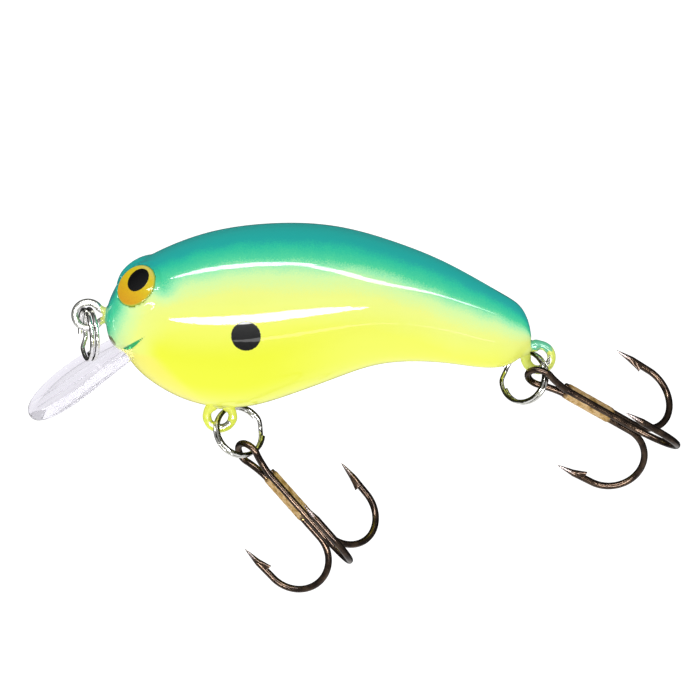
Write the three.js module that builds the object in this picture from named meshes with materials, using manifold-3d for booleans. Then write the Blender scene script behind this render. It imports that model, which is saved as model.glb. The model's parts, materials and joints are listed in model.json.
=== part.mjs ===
// Crankbait lure: a hollow two-piece plastic body with a clear round diving lip, wire eyes cast in
// at nose, belly and tail, split rings on the eyes and a treble hook on the belly and tail rings.
// Millimetres. +X runs from nose to tail, +Z from belly to back, -Y is the lure's left side.
// The origin is the centre of the line-tie eye, where the fishing line holds the lure.
import * as THREE from "three";
import { mergeVertices } from "three/addons/utils/BufferGeometryUtils.js";
import Module from "manifold-3d";

const wasm = await Module();
wasm.setup();

// ---- Body -------------------------------------------------------------------------------------
const BACK_OUTLINE = [
  [2.05, -0.6], [2.25, 0.9], [2.95, 2.8], [4.3, 4.85], [6.9, 6.85], [11.7, 9.05], [16.5, 10.35],
  [22.5, 10.95], [29.5, 10.5], [36.6, 8.5], [42.4, 6.05], [48.4, 2.65], [50.7, 1.0], [51.7, -1.0],
  [52.0, -2.6],
];
const BELLY_OUTLINE = [
  [2.05, -0.6], [2.3, -2.2], [2.9, -3.5], [4.2, -4.5], [5.6, -6.2], [7.6, -8.0], [10.7, -9.8],
  [14.2, -10.85], [18.4, -10.95], [23.0, -9.7], [28.6, -7.6], [33.0, -6.05], [37.0, -5.5],
  [42.0, -5.75], [46.5, -6.35], [49.3, -6.05], [51.0, -4.9], [51.8, -3.8], [52.0, -2.6],
];
const HALF_WIDTH = [
  [2.05, 0], [2.15, 1.2], [2.6, 2.3], [4.0, 3.9], [6.0, 5.1], [9.0, 6.2], [13.5, 7.0], [19.0, 7.3],
  [25.0, 7.1], [31.0, 6.3], [37.0, 4.9], [43.0, 3.5], [48.0, 2.45], [50.5, 1.75], [51.7, 1.0],
  [52.0, 0],
];
const NOSE_X = 2.05;
const TAIL_X = 52.0;
const SECTION_POWER = 2.15;
const WALL = 1.3;
const CAVITY_FRONT_X = 9.5;
const CAVITY_BACK_X = 45.0;
const SEAM_GAP = 0.04;
const FIT = 0.05;

// ---- Inside the body --------------------------------------------------------------------------
const HANGER_BOSS = { x: 15.4, z: -8.8, length: 6.4, height: 5.6, halfWidth: 2.6 };
const BALLAST = { x: 22.3, z: -5.6, radius: 2.5, length: 8.4, bossRadius: 3.3 };
const RATTLE_CELLS = [
  { x: 25.4, z: 1.6, ballRadius: 2.0, depth: 5.2 },
  { x: 31.6, z: 1.2, ballRadius: 1.75, depth: 4.6 },
  { x: 37.3, z: 0.6, ballRadius: 1.5, depth: 3.3 },
];
const CELL_CLEARANCE = 0.2;
const CELL_WALL = 0.8;
const SEAM_PINS = [
  [11.6, 4.6], [11.6, -5.4], [19.5, 6.6], [29.6, -4.6], [34.2, 6.0], [42.6, 2.0],
];
const PIN_RADIUS = 0.8;
const PIN_LENGTH = 1.5;
const PIN_ROOT = 0.5;
const PIN_END_GAP = 0.2;
const PIN_BOSS_RADIUS = 1.6;

// ---- Eyes -------------------------------------------------------------------------------------
const EYE_CENTRE = [5.95, 3.25, 4.5];
const EYE_NORMAL = [-0.5, 0.62, 0.6];
const EYE_RADIUS = 2.6;
const EYE_EDGE = 0.75;
const EYE_DOME = 0.5;
const EYE_SINK = 0.6;
const EYE_RIM = { radius: 3.1, height: 0.15, depth: 2.2, chamfer: 0.3 };

// ---- Diving lip -------------------------------------------------------------------------------
const LIP_ROOT = [3.6, -3.66];
const LIP_ANGLE = THREE.MathUtils.degToRad(34.2);
const LIP_THICKNESS = 1.4;
const LIP_HALF_OUTLINE = [
  [-1.2, 4.6], [1.5, 5.8], [4.5, 7.2], [7.5, 7.75], [10.2, 6.9], [12.1, 4.9], [13.2, 2.5],
  [13.5, 0],
];
const LIP_TONGUE_LENGTH = 6.2;
const LIP_TONGUE_HALF_WIDTH = 2.9;

// ---- Wire eyes (hangers) ----------------------------------------------------------------------
const HANGER_WIRE = 0.85;
const HANGER_LEG_GAP = 0.06;
const HANGER_LOOP_POINTS = 9;
const HANGER_FOOT_BEND = 0.4;
// shank: how far the legs reach into the body from the loop's centre; foot: how far each one turns
// out there.
const HANGERS = {
  line_tie: {
    centre: [0, 0], inward: [1, 0], hole: 2.3, shank: 5.4, foot: 1.3, colour: 0xd9d9d4,
  },
  belly_hanger: {
    centre: [15.3, -12.45], inward: [0, 1], hole: 2.2, shank: 5.2, foot: 1.5, colour: 0xe9f05a,
  },
  tail_hanger: {
    centre: [52.9, -5.2], inward: [-0.82, 0.57], hole: 2.2, shank: 6.2, foot: 1.1, colour: 0xd8ee6e,
  },
};

// ---- Split rings ------------------------------------------------------------------------------
const RING_WIRE = 0.55;
const RING_RADIUS = 2.97;
const RING_COIL_STEP = 0.58;
const RING_COIL_ANGLE = 672;
const RING_POINT_ANGLE = 12;
const RING_KINK = { at: 235, from: 322, to: 356 };
// toHanger: direction from the ring's centre to the eye that it hangs on; along: direction of the
// ring's wire, in the X-Z plane, where it passes through that eye; slant: how far it passes
// sideways; rise: how far the wire there lies from the eye's centre.
const RINGS = {
  nose_split_ring: {
    hanger: "line_tie", toHanger: [0, 1], along: [1, 0], slant: 72, rise: 0.6,
  },
  belly_split_ring: {
    hanger: "belly_hanger", toHanger: [-0.77, 0.64], along: [-0.64, -0.77], slant: 44, rise: 0,
  },
  tail_split_ring: {
    hanger: "tail_hanger", toHanger: [0.565, 0.825], along: [0.825, -0.565], slant: 44, rise: 0,
  },
};

// ---- Treble hooks -----------------------------------------------------------------------------
const HOOK_WIRE = 0.82;
const HOOK_GAP = 0.06;
const HOOK_EYE_HOLE = 2.1;
const HOOK_EYE_OPENING = 0.95;
const HOOK_EYE_STEPS = 16;
const HOOK_NECK = { x: 2.4, spread: 0.2 };
const HOOK_SHANK_X = 3.5;
const HOOK_BEND_X = 13.0;
const HOOK_BEND_RADIUS = 4.1;
const HOOK_BEND_STEPS = 9;
const HOOK_POINT = [8.4, 8.95];
const HOOK_POINT_BLUNTNESS = 0.12;
const HOOK_TAPER = 1.7;
const BARB = { start: 10.4, tip: 12.0, height: 0.55, cut: 0.06 };
const BRAZE = { from: 3.7, to: 10.0, skin: 0.1, bore: 0.02 };
const SINGLE_HOOK_START_X = 3.3;
// ringAngle: where round the split ring the hook's eye sits, from the hanger; pitch: how far the
// shank points down from the tail-ward direction; yaw: how far it points to the right; roll: turn
// of the hook about its shank; slack: how far the ring lies from the eye's middle, down the shank.
const TREBLES = {
  belly_treble: {
    ring: "belly_split_ring", ringAngle: 146, pitch: 47.5, yaw: -11, roll: 18, slack: 0.1,
  },
  tail_treble: {
    ring: "tail_split_ring", ringAngle: 60, pitch: 31.8, yaw: 6, roll: 21, slack: 0.7,
  },
};

// ---- Facets -----------------------------------------------------------------------------------
const WIRE_SIDES = 6;
const PIN_SIDES = 8;
const BOSS_SIDES = 12;
const ROUND_SIDES = 16;
const BODY_FACETS = { stations: 24, sides: 24 };
const CAVITY_FACETS = { stations: 10, sides: 16 };
const LIP_FACETS = 12;
const EYE_DOME_STEPS = 3;
const BALL_FACETS = { around: 12, upward: 7 };
const Y_AXIS = new THREE.Vector3(0, 1, 0);

const MATERIALS = {
  paint: { color: 0xb9f58c, roughness: 0.12, metalness: 0 },
  eye: { color: 0xd9c02c, roughness: 0.1, metalness: 0 },
  clear: { color: 0xf0f0f4, roughness: 0.05, metalness: 0, transparent: true, opacity: 0.35 },
  nickel: { color: 0xd2d2ce, roughness: 0.15, metalness: 1 },
  bronze: { color: 0x4a3524, roughness: 0.3, metalness: 0.9 },
  braze: { color: 0xb08b52, roughness: 0.4, metalness: 0.8 },
  lead: { color: 0x6f7276, roughness: 0.55, metalness: 0.8 },
  steel: { color: 0xbfc2c6, roughness: 0.15, metalness: 1 },
};

// ===== Solids ==================================================================================

function toSolid(geometry) {
  const bare = geometry.clone();
  bare.deleteAttribute("normal");
  bare.deleteAttribute("uv");
  const merged = mergeVertices(bare, 1e-4);
  return new wasm.Manifold(new wasm.Mesh({
    numProp: 3,
    vertProperties: new Float32Array(merged.attributes.position.array),
    triVerts: new Uint32Array(merged.index.array),
  }));
}

function toGeometry(solid) {
  const mesh = solid.getMesh();
  const geometry = new THREE.BufferGeometry();
  geometry.setAttribute("position", new THREE.BufferAttribute(mesh.vertProperties, 3));
  geometry.setIndex(new THREE.BufferAttribute(mesh.triVerts, 1));
  return geometry;
}

// A closed skin over rings of points, each ring with the same number of points, with end points.
function skin(rings, first, last) {
  const points = [first, ...rings.flat(), last];
  const sides = rings[0].length;
  const index = [];
  const at = (ring, side) => 1 + ring * sides + (side % sides);
  for (let side = 0; side < sides; side++) {
    index.push(0, at(0, side + 1), at(0, side));
    index.push(points.length - 1, at(rings.length - 1, side), at(rings.length - 1, side + 1));
    for (let ring = 0; ring + 1 < rings.length; ring++) {
      index.push(at(ring, side), at(ring, side + 1), at(ring + 1, side + 1));
      index.push(at(ring, side), at(ring + 1, side + 1), at(ring + 1, side));
    }
  }
  const geometry = new THREE.BufferGeometry().setFromPoints(points);
  geometry.setIndex(index);
  return geometry;
}

// A wire along a list of points. radiusAt(i) is its radius there; bulgeAt(i) is a vector by which
// the side that faces it stands out.
function wire(path, radiusAt, bulgeAt = null) {
  const tangents = path.map((_, i) => {
    const before = path[Math.max(i - 1, 0)];
    const after = path[Math.min(i + 1, path.length - 1)];
    return after.clone().sub(before).normalize();
  });
  let across = new THREE.Vector3(0.31, 0.57, 0.76).cross(tangents[0]).normalize();
  const rings = path.map((point, i) => {
    if (i > 0) {
      const turn = new THREE.Quaternion().setFromUnitVectors(tangents[i - 1], tangents[i]);
      across = across.clone().applyQuaternion(turn);
    }
    const other = new THREE.Vector3().crossVectors(tangents[i], across);
    const bulge = bulgeAt ? bulgeAt(i) : null;
    return Array.from({ length: WIRE_SIDES }, (_, side) => {
      const angle = (2 * Math.PI * side) / WIRE_SIDES;
      const out = across.clone().multiplyScalar(Math.cos(angle)).addScaledVector(other, Math.sin(angle));
      const vertex = point.clone().addScaledVector(out, radiusAt(i));
      if (bulge) {
        const facing = Math.max(0, out.dot(bulge.clone().normalize()));
        vertex.addScaledVector(bulge, facing ** 4);
      }
      return vertex;
    });
  });
  return skin(rings, path[0].clone(), path[path.length - 1].clone());
}

function meshOf(name, geometry, material) {
  const mesh = new THREE.Mesh(geometry, new THREE.MeshStandardMaterial(material));
  mesh.name = name;
  return mesh;
}

// A cylinder along Y between two heights.
function cylinderY(x, z, radius, fromY, toY, sides = BOSS_SIDES) {
  const geometry = new THREE.CylinderGeometry(radius, radius, Math.abs(toY - fromY), sides);
  geometry.translate(x, (fromY + toY) / 2, z);
  return toSolid(geometry);
}

function box(x0, x1, y0, y1, z0, z1) {
  const geometry = new THREE.BoxGeometry(x1 - x0, y1 - y0, z1 - z0);
  geometry.translate((x0 + x1) / 2, (y0 + y1) / 2, (z0 + z1) / 2);
  return toSolid(geometry);
}

// ===== Body ====================================================================================

// The value of an outline at x, from a smooth curve through its points.
function outlineReader(points) {
  const stepsPerPoint = 24;
  const curve = new THREE.SplineCurve(points.map(([x, y]) => new THREE.Vector2(x, y)));
  const fine = curve.getPoints(points.length * stepsPerPoint);
  return (x) => {
    const next = Math.max(1, fine.findIndex((p) => p.x >= x));
    const [a, b] = [fine[next - 1], fine[next]];
    const share = b.x === a.x ? 0 : (x - a.x) / (b.x - a.x);
    return a.y + (b.y - a.y) * share;
  };
}
const backAt = outlineReader(BACK_OUTLINE);
const bellyAt = outlineReader(BELLY_OUTLINE);
const halfWidthAt = outlineReader(HALF_WIDTH);

function bodySection(x, inset, sides) {
  const top = backAt(x) - inset;
  const bottom = bellyAt(x) + inset;
  const half = halfWidthAt(x) - inset;
  return Array.from({ length: sides }, (_, i) => {
    const angle = (2 * Math.PI * i) / sides;
    const [s, c] = [Math.sin(angle), Math.cos(angle)];
    const y = -half * Math.sign(s) * Math.abs(s) ** (2 / SECTION_POWER);
    const z = (top - bottom) / 2 * Math.sign(c) * Math.abs(c) ** (2 / SECTION_POWER);
    return new THREE.Vector3(x, y, (top + bottom) / 2 + z);
  });
}

// The body's outer form, or the cavity inset from it. Its stations crowd towards both ends.
function bodyForm(fromX, toX, inset, { stations, sides }) {
  const endShare = 0.35;
  const rings = [];
  for (let i = 0; i < stations; i++) {
    const share = (1 - Math.cos((Math.PI * (i + endShare)) / (stations - 1 + 2 * endShare))) / 2;
    rings.push(bodySection(fromX + (toX - fromX) * share, inset, sides));
  }
  const middle = (x) => new THREE.Vector3(x, 0, (backAt(x) + bellyAt(x)) / 2);
  return toSolid(skin(rings, middle(fromX), middle(toX)));
}

function lipPlate(grow) {
  const outline = new THREE.SplineCurve(LIP_HALF_OUTLINE.map(([s, y]) => new THREE.Vector2(s, y)));
  const half = outline.getPoints(LIP_FACETS);
  const corners = [
    new THREE.Vector2(-LIP_TONGUE_LENGTH - grow, LIP_TONGUE_HALF_WIDTH + grow),
    new THREE.Vector2(LIP_HALF_OUTLINE[0][0], LIP_TONGUE_HALF_WIDTH + grow),
    ...half,
  ];
  const mirrored = corners.slice(0, -1).reverse().map((p) => new THREE.Vector2(p.x, -p.y));
  const plate = new THREE.ExtrudeGeometry(new THREE.Shape([...corners, ...mirrored]), {
    depth: LIP_THICKNESS + 2 * grow,
    bevelEnabled: false,
  });
  // The shape's x runs forward along the lip and its y across; the plate's top face passes LIP_ROOT.
  const forward = new THREE.Vector3(-Math.cos(LIP_ANGLE), 0, -Math.sin(LIP_ANGLE));
  const across = new THREE.Vector3(0, 1, 0);
  const down = new THREE.Vector3().crossVectors(forward, across);
  plate.translate(0, 0, -grow);
  plate.applyMatrix4(new THREE.Matrix4().makeBasis(forward, across, down));
  plate.translate(LIP_ROOT[0], 0, LIP_ROOT[1]);
  return plate;
}

// ===== Wire eyes ===============================================================================

// A loop of wire with two legs side by side and their feet turned out, in the X-Z plane.
function hangerPath({ centre, inward, hole, shank, foot }) {
  const radius = (hole + HANGER_WIRE) / 2;
  const legOffset = (HANGER_WIRE + HANGER_LEG_GAP) / 2;
  const neckAngle = 0.28;
  const open = Math.asin(legOffset / radius) + neckAngle;
  const half = [];
  for (let i = 0; i <= HANGER_LOOP_POINTS; i++) {
    const angle = Math.PI - ((Math.PI - open) * i) / HANGER_LOOP_POINTS;
    half.push([radius * Math.cos(angle), radius * Math.sin(angle)]);
  }
  half.push([radius + 0.55, legOffset], [radius + 1.2, legOffset]);
  half.push([shank - HANGER_FOOT_BEND, legOffset], [shank, legOffset + HANGER_FOOT_BEND]);
  half.push([shank + 0.1, legOffset + foot]);
  const whole = [...half.slice(1).reverse().map(([u, v]) => [u, -v]), ...half];
  const along = new THREE.Vector3(inward[0], 0, inward[1]).normalize();
  const side = new THREE.Vector3(-along.z, 0, along.x);
  return whole.map(([u, v]) => new THREE.Vector3(centre[0], 0, centre[1])
    .addScaledVector(along, u)
    .addScaledVector(side, v));
}

function hangerWire(hanger, grow) {
  return wire(hangerPath(hanger), () => HANGER_WIRE / 2 + grow);
}

// ===== Shell halves ============================================================================

function eyeFrame(side) {
  const normal = new THREE.Vector3(EYE_NORMAL[0], side * EYE_NORMAL[1], EYE_NORMAL[2]).normalize();
  const turn = new THREE.Quaternion().setFromUnitVectors(Y_AXIS, normal);
  const centre = new THREE.Vector3(EYE_CENTRE[0], side * EYE_CENTRE[1], EYE_CENTRE[2]);
  return new THREE.Matrix4().compose(centre, turn, new THREE.Vector3(1, 1, 1));
}

function eyeRim(side) {
  const { radius, height, depth, chamfer } = EYE_RIM;
  const profile = [
    [0, -depth], [radius, -depth], [radius, height - chamfer], [radius - chamfer, height],
    [0, height],
  ].map(([r, y]) => new THREE.Vector2(r, y));
  return toSolid(new THREE.LatheGeometry(profile, ROUND_SIDES).applyMatrix4(eyeFrame(side)));
}

function eyePocket(side) {
  const depth = 4;
  const pocket = new THREE.CylinderGeometry(EYE_RADIUS + FIT, EYE_RADIUS + FIT, depth, ROUND_SIDES);
  pocket.translate(0, depth / 2 - EYE_SINK - FIT, 0);
  return toSolid(pocket.applyMatrix4(eyeFrame(side)));
}

const outerForm = bodyForm(NOSE_X, TAIL_X, 0, BODY_FACETS);
const cavity = bodyForm(CAVITY_FRONT_X, CAVITY_BACK_X, WALL, CAVITY_FACETS);

// The bosses inside one half: round the belly wire, the ballast, each ball and each seam pin.
function shellFittings(fromY, toY) {
  const { x: bossX, z: bossZ, length, height, halfWidth } = HANGER_BOSS;
  let fittings = box(
    bossX - length / 2, bossX + length / 2, -halfWidth, halfWidth,
    bossZ - height / 2, bossZ + height / 2,
  );
  fittings = fittings.add(cylinderY(BALLAST.x, BALLAST.z, BALLAST.bossRadius, fromY, toY));
  for (const cell of RATTLE_CELLS) {
    const radius = cell.ballRadius + CELL_CLEARANCE + CELL_WALL;
    fittings = fittings.add(cylinderY(cell.x, cell.z, radius, fromY, toY));
  }
  for (const [x, z] of SEAM_PINS) {
    fittings = fittings.add(cylinderY(x, z, PIN_BOSS_RADIUS, fromY, toY, PIN_SIDES));
  }
  return fittings;
}

// What one half leaves free: its eye's pocket, the ballast, the balls, the wires and the lip.
function shellHollows(side) {
  const hollows = [eyePocket(side), toSolid(lipPlate(FIT))];
  const ballastEnd = side * (BALLAST.length / 2 + FIT);
  hollows.push(cylinderY(BALLAST.x, BALLAST.z, BALLAST.radius + FIT, 0, ballastEnd));
  for (const cell of RATTLE_CELLS) {
    const radius = cell.ballRadius + CELL_CLEARANCE;
    hollows.push(cylinderY(cell.x, cell.z, radius, 0, side * cell.depth));
  }
  for (const hanger of Object.values(HANGERS)) hollows.push(toSolid(hangerWire(hanger, FIT)));
  return hollows;
}

function shellHalf(side) {
  const seam = (SEAM_GAP / 2) * side;
  const farY = 12 * side;
  const halfSpace = box(-20, 80, Math.min(seam, farY), Math.max(seam, farY), -30, 30);
  let half = outerForm.subtract(cavity)
    .add(shellFittings(seam, farY).intersect(outerForm))
    .add(eyeRim(side))
    .intersect(halfSpace);
  for (const hollow of shellHollows(side)) half = half.subtract(hollow);

  for (const [x, z] of SEAM_PINS) {
    if (side < 0) {
      half = half.add(cylinderY(x, z, PIN_RADIUS, seam - PIN_ROOT, PIN_LENGTH, PIN_SIDES));
    } else {
      half = half.subtract(cylinderY(x, z, PIN_RADIUS + FIT, 0, PIN_LENGTH + PIN_END_GAP, PIN_SIDES));
    }
  }
  return toGeometry(half);
}

function eyeDisc(side) {
  const dome = Array.from({ length: EYE_DOME_STEPS + 1 }, (_, i) => {
    const out = 1 - i / EYE_DOME_STEPS;
    return new THREE.Vector2(EYE_RADIUS * out, EYE_EDGE + EYE_DOME * (1 - out ** 2));
  });
  const profile = [new THREE.Vector2(0, 0), new THREE.Vector2(EYE_RADIUS, 0), ...dome];
  const disc = new THREE.LatheGeometry(profile, ROUND_SIDES);
  disc.translate(0, -EYE_SINK, 0);
  return disc.applyMatrix4(eyeFrame(side));
}

// ===== Split rings =============================================================================

// Two turns of wire side by side. The first turn steps over to the second in one short kink.
function splitRing() {
  const start = RING_KINK.at - (RING_KINK.from + RING_KINK.to) / 2;
  const path = [];
  for (let turned = 0; turned <= RING_COIL_ANGLE; turned += RING_POINT_ANGLE) {
    const share = THREE.MathUtils.smoothstep(turned, RING_KINK.from, RING_KINK.to);
    const angle = THREE.MathUtils.degToRad(start + turned);
    path.push(new THREE.Vector3(
      RING_RADIUS * Math.cos(angle),
      RING_RADIUS * Math.sin(angle),
      RING_COIL_STEP * (share - 0.5),
    ));
  }
  return wire(path, () => RING_WIRE / 2);
}

// The ring's own frame: x towards the hanger, y along its wire there, z its axis.
function ringFrame({ hanger, toHanger, along, slant, rise }) {
  const [x, z] = HANGERS[hanger].centre;
  const radial = new THREE.Vector3(toHanger[0], 0, toHanger[1]).normalize();
  const tilt = THREE.MathUtils.degToRad(slant);
  const tangent = new THREE.Vector3(along[0], 0, along[1]).normalize()
    .multiplyScalar(Math.cos(tilt))
    .addScaledVector(Y_AXIS, -Math.sin(tilt));
  const axis = new THREE.Vector3().crossVectors(radial, tangent);
  const centre = new THREE.Vector3(x, 0, z).addScaledVector(radial, rise - RING_RADIUS);
  return new THREE.Matrix4().makeBasis(radial, tangent, axis).setPosition(centre);
}

// ===== Treble hooks ============================================================================

const HOOK_OFFSET = (HOOK_WIRE + HOOK_GAP) / Math.sqrt(3);

// One hook's shank, bend and point as [distance along the shank, distance out from its axis].
function hookProfile(fromX) {
  const profile = [[fromX, HOOK_OFFSET], [(fromX + HOOK_BEND_X) / 2, HOOK_OFFSET]];
  for (let i = 0; i <= HOOK_BEND_STEPS; i++) {
    const angle = (Math.PI * i) / HOOK_BEND_STEPS;
    profile.push([
      HOOK_BEND_X + HOOK_BEND_RADIUS * Math.sin(angle),
      HOOK_OFFSET + HOOK_BEND_RADIUS * (1 - Math.cos(angle)),
    ]);
  }
  const [startX, startOut] = profile[profile.length - 1];
  const barbMiddle = (BARB.tip + BARB.start) / 2;
  const nearPoint = HOOK_POINT[0] + HOOK_TAPER / 2;
  const stations = [
    BARB.tip + BARB.cut, BARB.tip, barbMiddle, BARB.start, nearPoint, HOOK_POINT[0],
  ];
  for (const x of stations) {
    const share = (startX - x) / (startX - HOOK_POINT[0]);
    profile.push([x, startOut + (HOOK_POINT[1] - startOut) * share]);
  }
  return profile;
}

// Radius of the hook's wire and height of its barb at one place of the profile.
function hookThickness(profile, i) {
  const [x, out] = profile[i];
  const onPoint = out > HOOK_OFFSET + HOOK_BEND_RADIUS && x < HOOK_BEND_X;
  if (!onPoint) return { radius: HOOK_WIRE / 2, barb: 0 };
  const fromTip = x - HOOK_POINT[0];
  const radius = (HOOK_WIRE / 2) * Math.min(1, HOOK_POINT_BLUNTNESS + fromTip / HOOK_TAPER);
  const alongBarb = Math.max(0, (x - BARB.start) / (BARB.tip - BARB.start));
  const barb = x > BARB.tip ? 0 : BARB.height * alongBarb;
  return { radius, barb };
}

function hookPoints(profile, direction) {
  return profile.map(([x, out]) => direction.clone().multiplyScalar(out).setX(x));
}

// The hooks stand 120 degrees apart round the shank: one along +z, two at 120 degrees from it.
function hookDirection(index) {
  const angle = (2 * Math.PI * index) / 3;
  return new THREE.Vector3(0, Math.sin(angle), Math.cos(angle));
}

// Two hooks bent from one wire, whose middle is the eye.
function doubleHook() {
  const profile = hookProfile(HOOK_SHANK_X);
  const radius = (HOOK_EYE_HOLE + HOOK_WIRE) / 2;
  const first = hookDirection(1);
  const neckY = first.y * HOOK_OFFSET + HOOK_NECK.spread;
  const planeZ = first.z * HOOK_OFFSET;
  const eye = [];
  for (let i = 0; i <= HOOK_EYE_STEPS; i++) {
    const angle = HOOK_EYE_OPENING + (2 * (Math.PI - HOOK_EYE_OPENING) * i) / HOOK_EYE_STEPS;
    eye.push(new THREE.Vector3(radius * Math.cos(angle), radius * Math.sin(angle), planeZ));
  }
  const arms = [1, 2].map((index) => hookPoints(profile, hookDirection(index)));
  const path = [
    ...arms[0].slice().reverse(),
    new THREE.Vector3(HOOK_NECK.x, neckY, planeZ),
    ...eye,
    new THREE.Vector3(HOOK_NECK.x, -neckY, planeZ),
    ...arms[1],
  ];
  const last = path.length - 1;
  const fromEnd = (i) => Math.min(i, last - i);
  const placeOf = (i) => profile.length - 1 - fromEnd(i);
  const onArm = (i) => fromEnd(i) < profile.length;
  const armDirection = (i) => hookDirection(i < profile.length ? 1 : 2);
  return wire(
    path,
    (i) => (onArm(i) ? hookThickness(profile, placeOf(i)).radius : HOOK_WIRE / 2),
    (i) => {
      const barb = onArm(i) ? hookThickness(profile, placeOf(i)).barb : 0;
      return barb ? armDirection(i).multiplyScalar(-barb) : null;
    },
  );
}

function singleHook() {
  const profile = hookProfile(SINGLE_HOOK_START_X);
  const direction = hookDirection(0);
  return wire(
    hookPoints(profile, direction),
    (i) => hookThickness(profile, i).radius,
    (i) => {
      const { barb } = hookThickness(profile, i);
      return barb ? direction.clone().multiplyScalar(-barb) : null;
    },
  );
}

// The brazing metal: a thin skin round the three shanks that also fills the gap between them.
function braze() {
  const outline = [];
  const skinRadius = HOOK_WIRE / 2 + BRAZE.skin;
  const stepsEachWay = 3;
  for (let index = 0; index < 3; index++) {
    const facing = (2 * Math.PI * index) / 3;
    for (let i = -stepsEachWay; i <= stepsEachWay; i++) {
      const angle = facing + (Math.PI / 3) * (i / stepsEachWay);
      outline.push(new THREE.Vector2(
        HOOK_OFFSET * Math.cos(facing) + skinRadius * Math.cos(angle),
        HOOK_OFFSET * Math.sin(facing) + skinRadius * Math.sin(angle),
      ));
    }
  }
  const shape = new THREE.Shape(outline);
  for (let index = 0; index < 3; index++) {
    const facing = (2 * Math.PI * index) / 3;
    const [x, y] = [HOOK_OFFSET * Math.cos(facing), HOOK_OFFSET * Math.sin(facing)];
    const hole = new THREE.Path();
    hole.absarc(x, y, HOOK_WIRE / 2 + BRAZE.bore, 0, 2 * Math.PI, true);
    shape.holes.push(hole);
  }
  const sleeve = new THREE.ExtrudeGeometry(shape, {
    depth: BRAZE.to - BRAZE.from, bevelEnabled: false, curveSegments: 8,
  });
  // The section's x becomes the direction of the first hook (+z) and its depth the shank (+x).
  sleeve.applyMatrix4(new THREE.Matrix4().makeBasis(
    new THREE.Vector3(0, 0, 1), new THREE.Vector3(0, 1, 0), new THREE.Vector3(-1, 0, 0),
  ));
  return sleeve.translate(BRAZE.to, 0, 0);
}

// The treble's own frame: x along the shank, z the way the brazed single hook points, origin at the
// middle of the eye, on the split ring's wire.
function trebleFrame({ ring, ringAngle, pitch, yaw, roll, slack }) {
  const angle = THREE.MathUtils.degToRad(ringAngle);
  const eye = new THREE.Vector3(RING_RADIUS * Math.cos(angle), RING_RADIUS * Math.sin(angle), 0)
    .applyMatrix4(ringFrame(RINGS[ring]));
  const down = THREE.MathUtils.degToRad(pitch);
  const aside = THREE.MathUtils.degToRad(yaw);
  const shank = new THREE.Vector3(Math.cos(down), 0, -Math.sin(down))
    .multiplyScalar(Math.cos(aside))
    .addScaledVector(Y_AXIS, Math.sin(aside));
  const upward = new THREE.Vector3(Math.sin(down), 0, Math.cos(down));
  const leftward = new THREE.Vector3().crossVectors(upward, shank).negate();
  const turned = THREE.MathUtils.degToRad(roll + 120);
  const single = leftward.multiplyScalar(Math.cos(turned)).addScaledVector(upward, Math.sin(turned));
  const across = new THREE.Vector3().crossVectors(single, shank);
  const planeShift = hookDirection(1).z * HOOK_OFFSET;
  eye.addScaledVector(single, -planeShift).addScaledVector(shank, -slack);
  return new THREE.Matrix4().makeBasis(shank, across, single).setPosition(eye);
}

// ===== Assembly ================================================================================

const lure = new THREE.Group();
lure.add(meshOf("body_shell_left", shellHalf(-1), MATERIALS.paint));
lure.add(meshOf("body_shell_right", shellHalf(1), MATERIALS.paint));
lure.add(meshOf("diving_lip", lipPlate(0), MATERIALS.clear));
lure.add(meshOf("eye_left", eyeDisc(-1), MATERIALS.eye));
lure.add(meshOf("eye_right", eyeDisc(1), MATERIALS.eye));

for (const [name, hanger] of Object.entries(HANGERS)) {
  const material = { ...MATERIALS.nickel, color: hanger.colour };
  lure.add(meshOf(name, hangerWire(hanger, 0), material));
}

const ballast = new THREE.CylinderGeometry(BALLAST.radius, BALLAST.radius, BALLAST.length, BOSS_SIDES);
lure.add(meshOf("ballast_weight", ballast.translate(BALLAST.x, 0, BALLAST.z), MATERIALS.lead));

RATTLE_CELLS.forEach((cell, i) => {
  const sphere = new THREE.SphereGeometry(cell.ballRadius, BALL_FACETS.around, BALL_FACETS.upward);
  const ball = meshOf(`rattle_ball_${i + 1}`, sphere, MATERIALS.steel);
  ball.position.set(cell.x, 0, cell.z);
  lure.add(ball);
});

for (const [name, ring] of Object.entries(RINGS)) {
  lure.add(meshOf(name, splitRing().applyMatrix4(ringFrame(ring)), MATERIALS.nickel));
}

for (const [name, treble] of Object.entries(TREBLES)) {
  const frame = trebleFrame(treble);
  lure.add(meshOf(`${name}_double`, doubleHook().applyMatrix4(frame), MATERIALS.bronze));
  lure.add(meshOf(`${name}_single`, singleHook().applyMatrix4(frame), MATERIALS.bronze));
  lure.add(meshOf(`${name}_braze`, braze().applyMatrix4(frame), MATERIALS.braze));
}

export default lure;
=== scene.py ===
"""Crankbait lure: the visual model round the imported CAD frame.

Everything is worked out in millimetres in the frame's axes (+X nose to tail, +Z belly to back, -Y the
lure's left side, origin in the line-tie eye) and scaled to metres when a mesh is made.
"""

import json
import math

import bmesh
import bpy
import numpy as np
from mathutils import Matrix, Vector


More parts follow.
